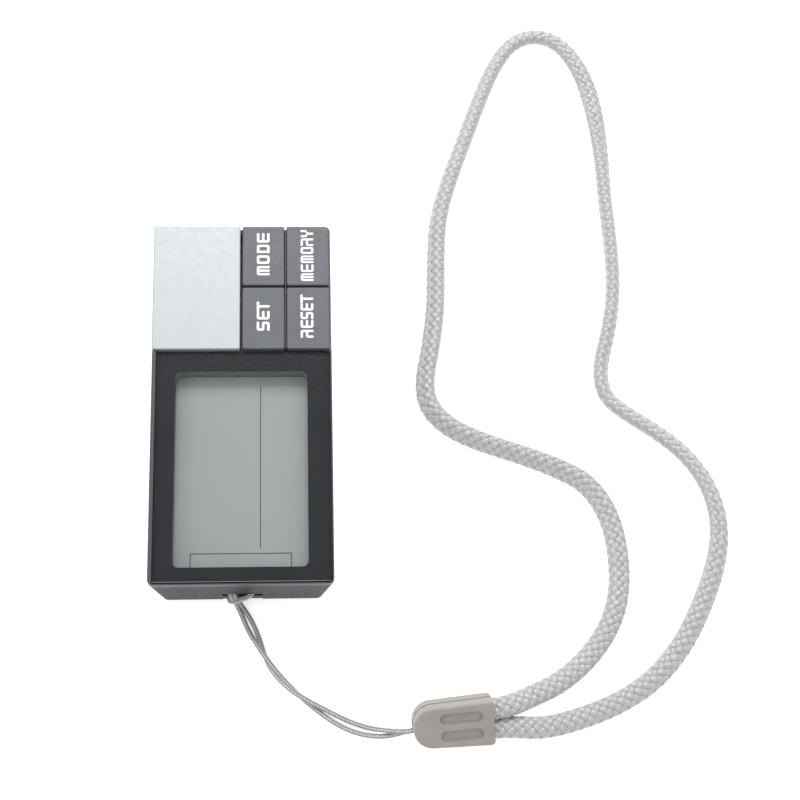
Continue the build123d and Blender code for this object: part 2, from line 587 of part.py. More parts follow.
# ---- cords ----------------------------------------------------------------------------------------
WRIST_ROUTE = [
    (46.3, -63.3, 5.58), (52.4, -62.8, 5.55), (58.0, -60.4, 3.9), (64.3, -57.4, 2.3), (70.6, -52.3, 1.8),
    (75.6, -45.6, 1.8), (78.0, -38.2, 1.8), (78.2, -30.0, 1.8), (76.9, -22.2, 1.8), (72.9, -15.3, 1.8),
    (66.4, -11.6, 1.8), (58.0, -8.4, 1.8), (49.5, -5.5, 1.8), (43.0, -2.1, 1.8), (39.1, 2.6, 1.8),
    (38.6, 8.4, 1.8), (40.2, 15.6, 1.8), (41.6, 25.0, 1.8), (41.9, 35.5, 1.8), (42.6, 46.0, 1.8),
    (45.6, 56.0, 1.8), (49.4, 66.0, 1.8), (52.9, 75.4, 1.8), (56.6, 84.2, 1.8), (60.8, 90.4, 1.8),
    (66.4, 92.8, 1.8), (72.2, 90.8, 1.8), (76.7, 84.2, 1.8), (79.2, 75.0, 1.8), (80.2, 63.4, 1.8),
    (80.3, 51.5, 1.8), (81.0, 39.5, 1.8), (80.9, 28.5, 1.8), (79.1, 19.0, 1.8), (76.6, 10.8, 1.8),
    (77.2, 4.4, 1.8), (81.4, 0.6, 1.8), (88.2, -3.8, 1.8), (94.5, -9.3, 1.8), (98.7, -16.2, 1.8),
    (100.3, -24.4, 1.8), (98.8, -32.6, 1.8), (95.2, -41.2, 1.8), (90.7, -49.3, 1.8), (84.5, -56.5, 1.8),
    (76.6, -61.5, 1.8), (67.6, -64.8, 1.8), (60.0, -66.5, 2.4), (53.1, -66.0, 3.75), (46.6, -66.45, 3.78),
]
STRAND_A_ROUTE = [
    (-2.6, -36.9, 4.3), (-2.4, -39.3, 4.2), (-1.2, -39.35, 0.95), (-0.2, -42.1, 0.5), (1.3, -45.2, 0.7),
    (3.0, -48.0, 2.2), (6.2, -52.4, 2.2), (9.0, -55.8, 0.7), (12.2, -59.2, 0.55), (15.4, -62.2, 0.7),
    (19.0, -64.8, 0.8), (22.9, -66.5, 0.9), (26.6, -67.3, 1.4), (30.3, -67.3, 2.6), (34.0, -67.0, 3.95),
    (37.7, -66.15, 4.33),
]
STRAND_B_ROUTE = [
    (-1.3, -36.9, 4.3), (-1.1, -39.3, 4.2), (-0.2, -39.35, 0.95), (1.1, -41.9, 0.5), (2.6, -44.6, 0.6),
    (3.6, -47.4, 0.55), (4.2, -50.6, 0.6), (5.4, -53.7, 0.7), (7.6, -56.5, 1.4), (10.2, -58.6, 2.4),
    (14.0, -60.4, 2.4), (17.6, -62.2, 1.2), (21.6, -64.1, 0.8), (25.6, -65.4, 1.2), (29.8, -66.0, 2.6),
    (34.0, -66.05, 4.5), (37.6, -65.25, 4.88),
]


def route_length(points):
    return sum((Vector(*a) - Vector(*b)).length for a, b in zip(points, points[1:]))


def arc_radii(points):
    """Largest arcs that the runs leave room for, one for each inner point of a route."""
    radii = []
    for before, here, after in zip(points, points[1:], points[2:]):
        run_in = Vector(*here) - Vector(*before)
        run_out = Vector(*after) - Vector(*here)
        turn = run_in.get_angle(run_out)
        radii.append(ARC_SHARE * min(run_in.length, run_out.length) / tan(radians(turn) / 2))
    return radii


def tube(name, points, diameter):
    """Round cord along straight runs joined by tangent arcs."""
    radii = arc_radii(points)
    path = FilletPolyline(*points, radius=radii)
    start = Plane(origin=path @ 0, z_dir=path % 0)
    solid = sweep(start * Circle(diameter / 2), path=path)
    section = pi * diameter ** 2 / 4
    ratio = solid.volume / (section * path.length)
    print(f"{name}: length {path.length:.1f}, volume ratio {ratio:.4f}, tightest radius {min(radii):.2f}")
    print("  radii", ", ".join(f"{r:.1f}" for r in radii))
    return solid


def string_hitch():
    """Loop of string drawn tight round the bar, with its front leg aslant over the two strands."""
    front_y = -HALF_LENGTH - 1.5
    back_y = -HALF_LENGTH + EYE_BAR + 0.75
    corners = [(0.1, back_y, 2.6), (1.3, back_y, 4.3), (2.3, front_y, 4.4), (-3.3, front_y, 0.55),
               (-1.3, back_y, 0.55), (-0.1, back_y, 2.25)]
    path = FilletPolyline(*corners, radius=[0.8, 0.9, 0.9, 0.8])
    start = Plane(origin=path @ 0, z_dir=path % 0)
    return sweep(start * Circle(STRING_DIAMETER / 2), path=path)


# ---- build ----------------------------------------------------------------------------------------
def build():
    nodes = {
        "rear_case": rear_case(),
        "front_frame": front_frame(),
        "window_lens": window_lens(),
        "window_mask": window_mask(),
        "lcd_front_polariser": display_layer(LCD_REAR_Y1, FRONT_GLASS_Z + GLASS, POLARISER - STACK_GAP, 0.3),
        "lcd_front_glass": display_layer(LCD_Y1, FRONT_GLASS_Z, GLASS - STACK_GAP, 0),
        "lcd_rear_glass": display_layer(LCD_REAR_Y1, REAR_GLASS_Z, GLASS - STACK_GAP, 0),
        "lcd_reflector": display_layer(LCD_REAR_Y1, REFLECTOR_Z, POLARISER - STACK_GAP, 0.3),
        "lcd_holder": lcd_holder(),
        "zebra_connector": zebra_connector(),
        "circuit_board": circuit_board(),
        "controller_blob": controller_blob(),
        "quartz_crystal": quartz_crystal(),
        "chip_capacitors": chips(((-9, -24), (-9, -21), (4.6, -27), (10, -18)), 1.6, 0.8, 0.8),
        "chip_resistors": chips(((6, -6), (8, -6), (10, -6), (-8, -3)), 0.8, 1.6, 0.45),
        "buzzer_plate": buzzer_plate(),
        "buzzer_ceramic": buzzer_ceramic(),
        "buzzer_contacts": buzzer_contacts(),
        "coin_cell": coin_cell(),
        "cell_contact_positive": cell_contact_positive(),
        "cell_contact_negative": cell_contact_negative(),
        "battery_door": battery_door(),
        "door_screws": door_screws(),
        "case_screws": case_screws(),
        "board_screws": board_screws(),
        "clip_front_shell": clip_shell(1),
        "clip_rear_shell": clip_shell(-1),
        "string_knot": string_knot(),
        "string_hitch": string_hitch(),
        "string_strand_a": tube("string_strand_a", STRAND_A_ROUTE, STRING_DIAMETER),
        "string_strand_b": tube("string_strand_b", STRAND_B_ROUTE, STRING_DIAMETER),
        "wrist_cord": tube("wrist_cord", WRIST_ROUTE, CORD_DIAMETER),
    }
    for key in KEYS:
        nodes[key["name"] + "_key"] = key_cap(key)
        nodes[key["name"] + "_dome"] = snap_dome(*key["stem"])
    return nodes


os.makedirs("parts", exist_ok=True)
for name, shape in build().items():
    export_step(shape, f"parts/{name}.step")
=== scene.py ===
from math import cos, pi, radians, sin

import bpy
import numpy as np
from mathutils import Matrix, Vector


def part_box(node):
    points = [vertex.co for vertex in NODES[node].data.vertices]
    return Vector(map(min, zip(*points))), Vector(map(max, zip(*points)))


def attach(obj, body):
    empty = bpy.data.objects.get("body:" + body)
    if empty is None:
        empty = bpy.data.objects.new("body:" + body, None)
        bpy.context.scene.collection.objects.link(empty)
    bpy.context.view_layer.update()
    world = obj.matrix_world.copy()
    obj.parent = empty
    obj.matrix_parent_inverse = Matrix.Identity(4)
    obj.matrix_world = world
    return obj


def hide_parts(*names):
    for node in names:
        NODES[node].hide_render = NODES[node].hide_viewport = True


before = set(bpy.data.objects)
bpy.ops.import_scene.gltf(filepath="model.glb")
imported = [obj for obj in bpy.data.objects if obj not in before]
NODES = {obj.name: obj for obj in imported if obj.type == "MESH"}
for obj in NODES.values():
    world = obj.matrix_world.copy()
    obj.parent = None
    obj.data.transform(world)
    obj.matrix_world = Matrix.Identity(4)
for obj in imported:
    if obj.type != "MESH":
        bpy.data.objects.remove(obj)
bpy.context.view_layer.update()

MM = 0.001
KEY_NAMES = ("start_stop", "mode", "memory", "set", "reset")

# camera, fitted to the photograph: place in millimetres, angles in degrees
CAMERA_PLACE = (10.58, -117.44, 354.8)
CAMERA_ANGLES = (19.0, -3.2, -1.41)
CAMERA_LENS = 78.75
CAMERA_SENSOR = 36
CAMERA_CLIP_START = 0.01

# studio, in metres and watts
WORLD_STRENGTH = 0.86
LIGHT_TARGET = (0.04, 0.0, 0.0)
SOFTBOX_SIZE = 0.5
SOFTBOXES = (("softbox_back", (0.02, 0.75, 0.85), 8.0), ("softbox_left", (-0.7, -0.1, 0.7), 1.2))
FLOOR_HALF_SIDE = 4.0
FLOOR_DROP = 0.00006
FLOOR_ALBEDO = 0.93
FLOOR_GLOW = 0.5

# materials: the part of a noise that a colour range is spread over, and how cloudy moulded plastic is
RAMP_START = 0.3
RAMP_END = 0.7
CLOUDINESS = 0.06

# tints: a grey value times one of these gives a colour
WHITE = (1, 1, 1)
CASE_TINT = (0.96, 0.97, 1.08)
FRAME_TINT = (0.97, 0.98, 1.04)
# tint of the painted light on the shaded far wall of the display's opening
WALL_LIGHT_TINT = (0.97, 0.98, 1.06)
KEY_TINT = (0.93, 1.0, 1.14)
SILVER_TINT = (0.955, 0.985, 1.035)
INK_TINT = (0.98, 0.98, 1.24)
FILM_TINT = (0.94, 1.0, 0.995)
SEGMENT_TINT = (0.95, 1.0, 1.0)
HOLDER_TINT = (1, 1, 0.98)
CORD_TINT = (1.0, 1.0, 0.995)
STRING_TINT = (1.0, 0.985, 1.01)
CLIP_TINT = (1.04, 0.98, 0.94)

# wrist cord: the braid's middle surface, its yarns, and how it lies
CORD_STEP = 0.00034  # metres between sections
CORD_HALF_WIDE = 1.83 * MM
CORD_HALF_THICK = 1.16 * MM
CORD_PAIRS = 6
CORD_LAY = 12.4 * MM
CORD_YARN = (0.77 * MM, 0.26 * MM)
CORD_WEAVE = 0.2 * MM
CORD_SKIN = 0.36 * MM
CORD_LYING_BELOW = 1.85 * MM
CORD_CLEARANCE = 0.02 * MM
CORD_BLEND = 61  # sections
# places along the cord in millimetres, and how many degrees its flat section is rolled from level there
CORD_PLACES = (0, 40, 64, 85, 108, 130, 158, 186, 205, 224, 240, 256, 280, 305, 330, 348, 372, 412)
CORD_ROLLS = (4, 8, 30, 50, 34, 40, 54, 60, 50, 18, 55, 84, 70, 56, 44, 14, 5, 4)

# thin string
STRING_STEP = 0.00013  # metres between sections
STRING_HALF_SIZE = (0.37 * MM, 0.37 * MM)
STRING_PAIRS = 4
STRING_LAY = 2.1 * MM
STRING_YARN = (0.2 * MM, 0.11 * MM)
STRING_WEAVE = 0.09 * MM

# detail of a braid: how many sides a yarn and the core have, and how far the core reaches out
YARN_SIDES = 6
CORE_SIDES = 12
CORE_REACH = 0.86

# printed letters, in millimetres, with the leg of an M as a share of its width
LETTER_HEIGHT = 2.68
LETTER_LEG_SHARE = 0.235
LETTER_WIDE_CORNER = 0.5
LETTER_SMALL_CORNER = 0.14

# layers on a face, in metres: how thick, and how far above it
PRINT_HALF_THICK = 0.01 * MM
PRINT_LIFT = 0.012 * MM
LINE_THICK = 0.00002
LINE_LIFT = 0.00001


# ---- making objects -------------------------------------------------------------------------------
def linked(name, data):
    made = bpy.data.objects.new(name, data)
    bpy.context.scene.collection.objects.link(made)
    return made


def mesh_object(name, points, faces, material):
    mesh = bpy.data.meshes.new(name)
    mesh.from_pydata(points, [], faces)
    mesh.materials.append(material)
    return linked(name, mesh)


# ---- camera, light and floor ----------------------------------------------------------------------
def add_camera():
    data = bpy.data.cameras.new("camera")
    data.sensor_width = CAMERA_SENSOR
    data.lens = CAMERA_LENS
    data.clip_start = CAMERA_CLIP_START
    camera = linked("camera", data)
    camera.location = [c * MM for c in CAMERA_PLACE]
    camera.rotation_euler = [radians(angle) for angle in CAMERA_ANGLES]
    bpy.context.scene.camera = camera


def add_area_light(name, place, target, size, watts):
    data = bpy.data.lights.new(name, "AREA")
    data.size = size
    data.energy = watts
    light = linked(name, data)
    light.location = place
    light.rotation_euler = (Vector(target) - Vector(place)).to_track_quat("-Z", "Y").to_euler()


def add_studio():
    world = bpy.data.worlds.new("studio")
    bpy.context.scene.world = world
    world.use_nodes = True
    background = world.node_tree.nodes["Background"]
    background.inputs["Color"].default_value = (1, 1, 1, 1)
    background.inputs["Strength"].default_value = WORLD_STRENGTH
    for name, place, watts in SOFTBOXES:
        add_area_light(name, place, LIGHT_TARGET, SOFTBOX_SIZE, watts)
    paper = Shader("floor_paper", rough=0.9, specular=0.1)
    paper.surface.inputs["Base Color"].default_value = shade(FLOOR_ALBEDO)
    paper.surface.inputs["Emission Color"].default_value = (1, 1, 1, 1)
    paper.surface.inputs["Emission Strength"].default_value = FLOOR_GLOW
    side = FLOOR_HALF_SIDE
    corners = [(x, y, -FLOOR_DROP) for x, y in ((-side, -side), (side, -side), (side, side), (-side, side))]
    floor = mesh_object("floor", corners, [(0, 1, 2, 3)], paper.material)
    bpy.context.scene.view_settings.view_transform = "Standard"


# ---- material building blocks ---------------------------------------------------------------------
class Shader:
    """A material with one principled shader and helpers that add nodes to it."""

    def __init__(self, name, rough=0.5, metallic=0.0, specular=0.5):
        self.material = bpy.data.materials.new(name)
        self.material.use_nodes = True
        self.tree = self.material.node_tree
        self.surface = self.tree.nodes["Principled BSDF"]
        self.surface.inputs["Roughness"].default_value = rough
        self.surface.inputs["Metallic"].default_value = metallic
        self.surface.inputs["Specular IOR Level"].default_value = specular

    def node(self, kind, **values):
        made = self.tree.nodes.new(kind)
        for key, value in values.items():
            setattr(made, key, value)
        return made

    def link(self, source, target):
        self.tree.links.new(source, target)

    def coordinates(self, scale=(1, 1, 1), source="Object"):
        place = self.node("ShaderNodeTexCoord")
        mapping = self.node("ShaderNodeMapping")
        mapping.inputs["Scale"].default_value = scale
        self.link(place.outputs[source], mapping.inputs["Vector"])
        return mapping.outputs["Vector"]

    def noise(self, scale, detail=2.0, rough=0.5, vector=None):
        made = self.node("ShaderNodeTexNoise")
        made.inputs["Scale"].default_value = scale
        made.inputs["Detail"].default_value = detail
        made.inputs["Roughness"].default_value = rough
        self.link(vector or self.coordinates(), made.inputs["Vector"])
        return made.outputs["Fac"]

    def spread(self, fac, low, high):
        """Maps a 0 to 1 value to a range of colours or grey values."""
        ramp = self.node("ShaderNodeValToRGB")
        ramp.color_ramp.elements[0].position = RAMP_START
        ramp.color_ramp.elements[1].position = RAMP_END
        ramp.color_ramp.elements[0].color = low
        ramp.color_ramp.elements[1].color = high
        self.link(fac, ramp.inputs["Fac"])
        return ramp.outputs["Color"]

    def colour(self, fac, low, high):
        self.link(self.spread(fac, low, high), self.surface.inputs["Base Color"])

    def roughness(self, fac, low, high):
        value = self.spread(fac, (low, low, low, 1), (high, high, high, 1))
        self.link(value, self.surface.inputs["Roughness"])

    def bump(self, height, distance):
        made = self.node("ShaderNodeBump")
        made.inputs["Strength"].default_value = 1.0
        made.inputs["Distance"].default_value = distance
        self.link(height, made.inputs["Height"])
        self.link(made.outputs["Normal"], self.surface.inputs["Normal"])


def shade(value, tint=WHITE):
    return (value * tint[0], value * tint[1], value * tint[2], 1)


def moulded_plastic(name, value, tint, rough, grain, depth, specular=0.5):
    """Moulded plastic with a fine spark-eroded grain and faint cloudy variation."""
    made = Shader(name, rough=rough, specular=specular)
    cloud = made.noise(220, detail=3)
    made.colour(cloud, shade(value * (1 - CLOUDINESS), tint), shade(value * (1 + CLOUDINESS), tint))
    made.roughness(made.noise(900, detail=2), rough - 0.05, rough + 0.06)
    made.bump(made.noise(grain, detail=2, rough=0.6), depth)
    return made.material


def assign(material, *names):
    for name in names:
        node = NODES[name]
        node.data.materials.clear()
        node.data.materials.append(material)


def dress_case():
    case = moulded_plastic("case_plastic_texture", 0.029, CASE_TINT, 0.5, 5200, 0.000012, specular=0.22)
    assign(case, "rear_case", "battery_door")
    frame_grey = moulded_plastic("frame_plastic_texture", 0.05, FRAME_TINT, 0.45, 5200, 0.00001)
    assign(frame_grey, "front_frame")
    keys = moulded_plastic("key_plastic_texture", 0.095, KEY_TINT, 0.42, 4200, 0.000012)
    assign(keys, "mode_key", "memory_key", "set_key", "reset_key")
    silver = Shader("silver_paint", rough=0.42, metallic=0.25)
    flake = silver.noise(2600, detail=3, rough=0.7)
    silver.colour(flake, shade(0.432, SILVER_TINT), shade(0.445, SILVER_TINT))
    silver.roughness(silver.noise(700), 0.38, 0.48)
    silver.bump(flake, 0.000006)
    assign(silver.material, "start_stop_key")


def clear_film(name, tint, rough, gloss_share):
    """Thin clear sheet: light goes straight through, with a mirror-like share by angle."""
    made = Shader(name)
    tree = made.tree
    tree.nodes.remove(made.surface)
    through = made.node("ShaderNodeBsdfTransparent")
    through.inputs["Color"].default_value = tint
    gloss = made.node("ShaderNodeBsdfGlossy")
    smudge = made.noise(180, detail=3)
    value = made.spread(smudge, (rough, rough, rough, 1), (rough * 3, rough * 3, rough * 3, 1))
    made.link(value, gloss.inputs["Roughness"])
    angle = made.node("ShaderNodeFresnel")
    angle.inputs["IOR"].default_value = 1.49
    mix = made.node("ShaderNodeMixShader")
    share = made.node("ShaderNodeMath", operation="MULTIPLY")
    share.inputs[1].default_value = gloss_share
    made.link(angle.outputs["Fac"], share.inputs[0])
    made.link(share.outputs["Value"], mix.inputs["Fac"])
    made.link(through.outputs["BSDF"], mix.inputs[1])
    made.link(gloss.outputs["BSDF"], mix.inputs[2])
    made.link(mix.outputs["Shader"], tree.nodes["Material Output"].inputs["Surface"])
    return made.material


def dress_window():
    assign(clear_film("window_acrylic", (0.99, 0.99, 0.99, 1), 0.22, 0.1), "window_lens")
    ink = Shader("black_ink", rough=0.5, specular=0.1)
    ink.colour(ink.noise(300), shade(0.0165, INK_TINT), shade(0.0192, INK_TINT))
    assign(ink.material, "window_mask")
    film = Shader("polariser_film", rough=0.4, specular=0.35)
    film.colour(film.noise(60, detail=2), shade(0.298, FILM_TINT), shade(0.312, FILM_TINT))
    film.bump(film.noise(4000), 0.000003)
    assign(film.material, "lcd_front_polariser", "lcd_reflector")
    glass = clear_film("lcd_glass_sheet", (0.93, 0.96, 0.95, 1), 0.02, 1.0)
    assign(glass, "lcd_front_glass", "lcd_rear_glass")


def dress_inside():
    holder = moulded_plastic("holder_plastic_texture", 0.5, HOLDER_TINT, 0.5, 3000, 0.00001)
    assign(holder, "lcd_holder")
    rubber = Shader("connector_rubber_layers", rough=0.7)
    bands = rubber.node("ShaderNodeTexWave")
    bands.inputs["Scale"].default_value = 5000
    rubber.link(rubber.coordinates(), bands.inputs["Vector"])
    rubber.colour(bands.outputs["Fac"], (0.55, 0.2, 0.24, 1), (0.03, 0.03, 0.03, 1))
    assign(rubber.material, "zebra_connector")
    board = Shader("board_solder_mask", rough=0.35)
    board.colour(board.noise(1500, detail=4), (0.01, 0.13, 0.05, 1), (0.02, 0.2, 0.08, 1))
    board.bump(board.noise(2500), 0.00001)
    assign(board.material, "circuit_board")
    epoxy = Shader("black_epoxy", rough=0.2)
    epoxy.colour(epoxy.noise(400), shade(0.012), shade(0.02))
    epoxy.bump(epoxy.noise(500), 0.00002)
    assign(epoxy.material, "controller_blob")
    chip = Shader("chip_ceramic_texture", rough=0.5)
    chip.colour(chip.noise(2500), (0.28, 0.2, 0.12, 1), (0.4, 0.3, 0.2, 1))
    chip.bump(chip.noise(4000), 0.00001)
    assign(chip.material, "chip_capacitors", "chip_resistors")
    steel = metal("nickel_steel", (0.62, 0.61, 0.6), 0.3)
    assign(steel, "quartz_crystal", "coin_cell", "door_screws", "case_screws", "board_screws")
    spring = metal("spring_sheet", (0.66, 0.64, 0.6), 0.25)
    domes = [name + "_dome" for name in KEY_NAMES]
    assign(spring, "buzzer_contacts", "cell_contact_positive", "cell_contact_negative", *domes)
    assign(metal("brass_sheet", (0.78, 0.58, 0.25), 0.3), "buzzer_plate")
    ceramic = Shader("silvered_ceramic", rough=0.4)
    ceramic.colour(ceramic.noise(900), shade(0.6), shade(0.72))
    ceramic.bump(ceramic.noise(3000), 0.000008)
    assign(ceramic.material, "buzzer_ceramic")


def metal(name, colour, rough):
    """Plated sheet or screw metal with drawn streaks."""
    made = Shader(name, rough=rough, metallic=1.0)
    streak = made.noise(600, detail=3, vector=made.coordinates((1, 14, 14)))
    low = tuple(0.85 * c for c in colour) + (1,)
    made.colour(streak, low, tuple(colour) + (1,))
    made.roughness(streak, rough - 0.06, rough + 0.1)
    made.bump(streak, 0.000004)
    return made.material


# ---- cords ----------------------------------------------------------------------------------------
# control points of each smooth line, in millimetres in the frame's axes
WRIST_ROUTE = [
    (46.3, -63.3, 5.58), (52.4, -62.8, 5.55), (58.0, -60.3, 3.9), (64.3, -57.4, 2.3), (70.6, -52.3, 1.8),
    (75.6, -45.6, 1.8), (78.0, -38.2, 1.8), (78.2, -30.0, 1.8), (76.9, -22.2, 1.8), (72.9, -15.3, 1.8),
    (66.4, -11.6, 1.8), (58.0, -8.4, 1.8), (49.5, -5.5, 1.8), (43.0, -2.1, 1.8), (39.1, 2.6, 1.8),
    (38.6, 8.4, 1.8), (40.2, 15.6, 1.8), (41.6, 25.0, 1.8), (41.9, 35.5, 1.8), (42.6, 46.0, 1.8),
    (45.6, 56.0, 1.8), (49.4, 66.0, 1.8), (52.9, 75.4, 1.8), (56.6, 84.2, 1.8), (60.8, 90.4, 1.8),
    (66.4, 92.8, 1.8), (72.2, 90.8, 1.8), (76.7, 84.2, 1.8), (79.2, 75.0, 1.8), (80.2, 63.4, 1.8),
    (80.3, 51.5, 1.8), (81.0, 39.5, 1.8), (80.9, 28.5, 1.8), (79.1, 19.0, 1.8), (76.6, 10.8, 1.8),
    (77.2, 4.4, 1.8), (81.4, 0.6, 1.8), (88.2, -3.8, 1.8), (94.5, -9.3, 1.8), (98.7, -16.2, 1.8),
    (100.3, -24.4, 1.8), (98.8, -32.6, 1.8), (95.2, -41.2, 1.8), (90.7, -49.3, 1.8), (84.5, -56.5, 1.8),
    (76.6, -61.5, 1.8), (67.6, -64.8, 1.8), (60.0, -66.6, 2.4), (53.1, -66.1, 3.75), (46.6, -66.45, 3.78),
]
STRAND_A_ROUTE = [
    (-2.6, -36.9, 4.3), (-2.5, -38.5, 4.3), (-2.2, -39.2, 3.4), (-1.75, -39.25, 1.7), (-1.25, -39.8, 0.6),
    (-0.4, -41.6, 0.5), (0.35, -43.5, 0.5), (1.15, -45.4, 0.6), (2.75, -48.2, 1.4), (5.7, -52.6, 1.5),
    (8.65, -56.0, 0.8), (12.0, -59.3, 0.55), (15.4, -62.2, 0.6), (19.0, -64.8, 0.6), (22.9, -66.6, 0.6),
    (26.6, -67.3, 0.8), (29.4, -67.3, 1.3), (31.6, -66.95, 2.4), (34.0, -66.6, 3.9), (37.7, -66.0, 4.35),
]
STRAND_B_ROUTE = [
    (-1.8, -36.9, 4.3), (-1.7, -38.5, 4.3), (-1.4, -39.2, 3.4), (-1.05, -39.25, 1.7), (-0.6, -39.8, 0.6),
    (0.75, -41.6, 0.5), (1.85, -43.5, 0.5), (2.75, -45.4, 0.55), (3.7, -48.0, 0.55), (4.5, -50.6, 0.6),
    (5.75, -53.45, 0.7), (8.1, -56.35, 1.1), (10.6, -58.5, 1.6), (14.0, -60.5, 1.7), (17.6, -62.3, 0.9),
    (21.6, -64.3, 0.7), (25.6, -65.7, 0.9), (29.0, -66.35, 2.0), (31.4, -66.75, 3.3), (34.0, -66.9, 4.3),
    (37.6, -65.5, 4.9),
]
HITCH_ROUTE = [
    (0.0, -36.0, 2.6), (1.2, -35.9, 4.4), (1.95, -37.4, 4.55), (2.0, -38.7, 4.6), (1.1, -39.35, 4.35),
    (-0.3, -39.65, 3.7), (-1.6, -39.8, 2.9), (-2.6, -39.6, 1.7), (-2.7, -38.5, 0.45), (-1.3, -36.0, 0.5),
]


def metres(route):
    return [tuple(c * MM for c in point) for point in route]


def smooth_line(name, route, cyclic=False):
    """Points of the smooth curve that has the route as its control points."""
    data = bpy.data.curves.new(name, "CURVE")
    data.dimensions = "3D"
    spline = data.splines.new("NURBS")
    spline.points.add(len(route) - 1)
    for point, place in zip(spline.points, route):
        point.co = (*place, 1)
    spline.use_cyclic_u = cyclic
    spline.order_u = 3
    spline.use_endpoint_u = not cyclic
    spline.resolution_u = 24
    line = linked(name, data)
    bpy.context.view_layer.update()
    mesh = bpy.data.meshes.new_from_object(line)
    points = np.array([v.co for v in mesh.vertices])
    bpy.data.objects.remove(line)
    bpy.data.meshes.remove(mesh)
    return points


def resample(points, step, closed=False):
    """Evenly spaced points along a line, with their distances along it."""
    if closed:
        points = np.vstack([points, points[:1]])
    gaps = np.linalg.norm(np.diff(points, axis=0), axis=1)
    points = points[np.concatenate([[True], gaps > 1e-9])]
    gaps = gaps[gaps > 1e-9]
    along = np.concatenate([[0], np.cumsum(gaps)])
    count = int(round(along[-1] / step))
    at = np.linspace(0, along[-1], count + 1)
    return np.stack([np.interp(at, along, points[:, i]) for i in range(3)], axis=1), at


def unit(v):
    return v / np.linalg.norm(v, axis=-1, keepdims=True)


def carried_frames(points, closed=False):
    """Tangents and a pair of normals that turn as little as they can along the line."""
    tangents = unit(np.gradient(points, axis=0))
    if closed:
        tangents[0] = tangents[-1] = unit(points[1] - points[-2])
    normal = np.cross(tangents[0], (0.0, 0.0, 1.0))
    if np.linalg.norm(normal) < 0.1:
        normal = np.cross(tangents[0], (1.0, 0.0, 0.0))
    normals = []
    for tangent in tangents:
        normal = normal - tangent * np.dot(normal, tangent)
        normal = normal / np.linalg.norm(normal)
        normals.append(normal)
    normals = np.array(normals)
    return tangents, normals, np.cross(tangents, normals)


def level_frames(points):
    """Tangents, a level normal and an upright one, for a cord that lies on a table."""
    tangents = unit(np.gradient(points, axis=0))
    level = unit(np.cross(tangents, (0.0, 0.0, 1.0)))
    return tangents, level, np.cross(level, tangents)


class MeshMaker:
    """Collects rings of points into one mesh with a UV map: U round a strand, V along it in metres."""

    def __init__(self):
        self.points = []
        self.faces = []
        self.uvs = []
        self.count = 0

    def strand(self, rings, lengths):
        """Skins a row of rings with quads, and closes it with a face at each end."""
        steps, around = rings.shape[:2]
        index = np.arange(steps * around).reshape(steps, around) + self.count
        here = index[:-1]
        there = index[1:]
        quads = np.stack([here, np.roll(here, -1, 1), np.roll(there, -1, 1), there], axis=-1)
        u0 = np.tile(np.arange(around) / around, (steps - 1, 1))
        u1 = u0 + 1 / around
        v0 = np.tile(lengths[:-1, None], (1, around))
        v1 = np.tile(lengths[1:, None], (1, around))
        uv = np.stack([np.stack([u0, v0], -1), np.stack([u1, v0], -1),
                       np.stack([u1, v1], -1), np.stack([u0, v1], -1)], axis=2)
        self.points.append(rings.reshape(-1, 3))
        self.faces += quads.reshape(-1, 4).tolist()
        self.uvs.append(uv.reshape(-1, 2))
        self.faces.append(index[0][::-1].tolist())
        self.faces.append(index[-1].tolist())
        self.uvs.append(np.zeros((2 * around, 2)))
        self.count += steps * around

    def build(self, name, material):
        mesh = bpy.data.meshes.new(name)
        mesh.from_pydata(np.vstack(self.points).tolist(), [], self.faces)
        layer = mesh.uv_layers.new(name="strand")
        layer.data.foreach_set("uv", np.vstack(self.uvs).astype(np.float32).ravel())
        mesh.polygons.foreach_set("use_smooth", [True] * len(mesh.polygons))
        mesh.materials.append(material)
        mesh.update()
        return linked(name, mesh)


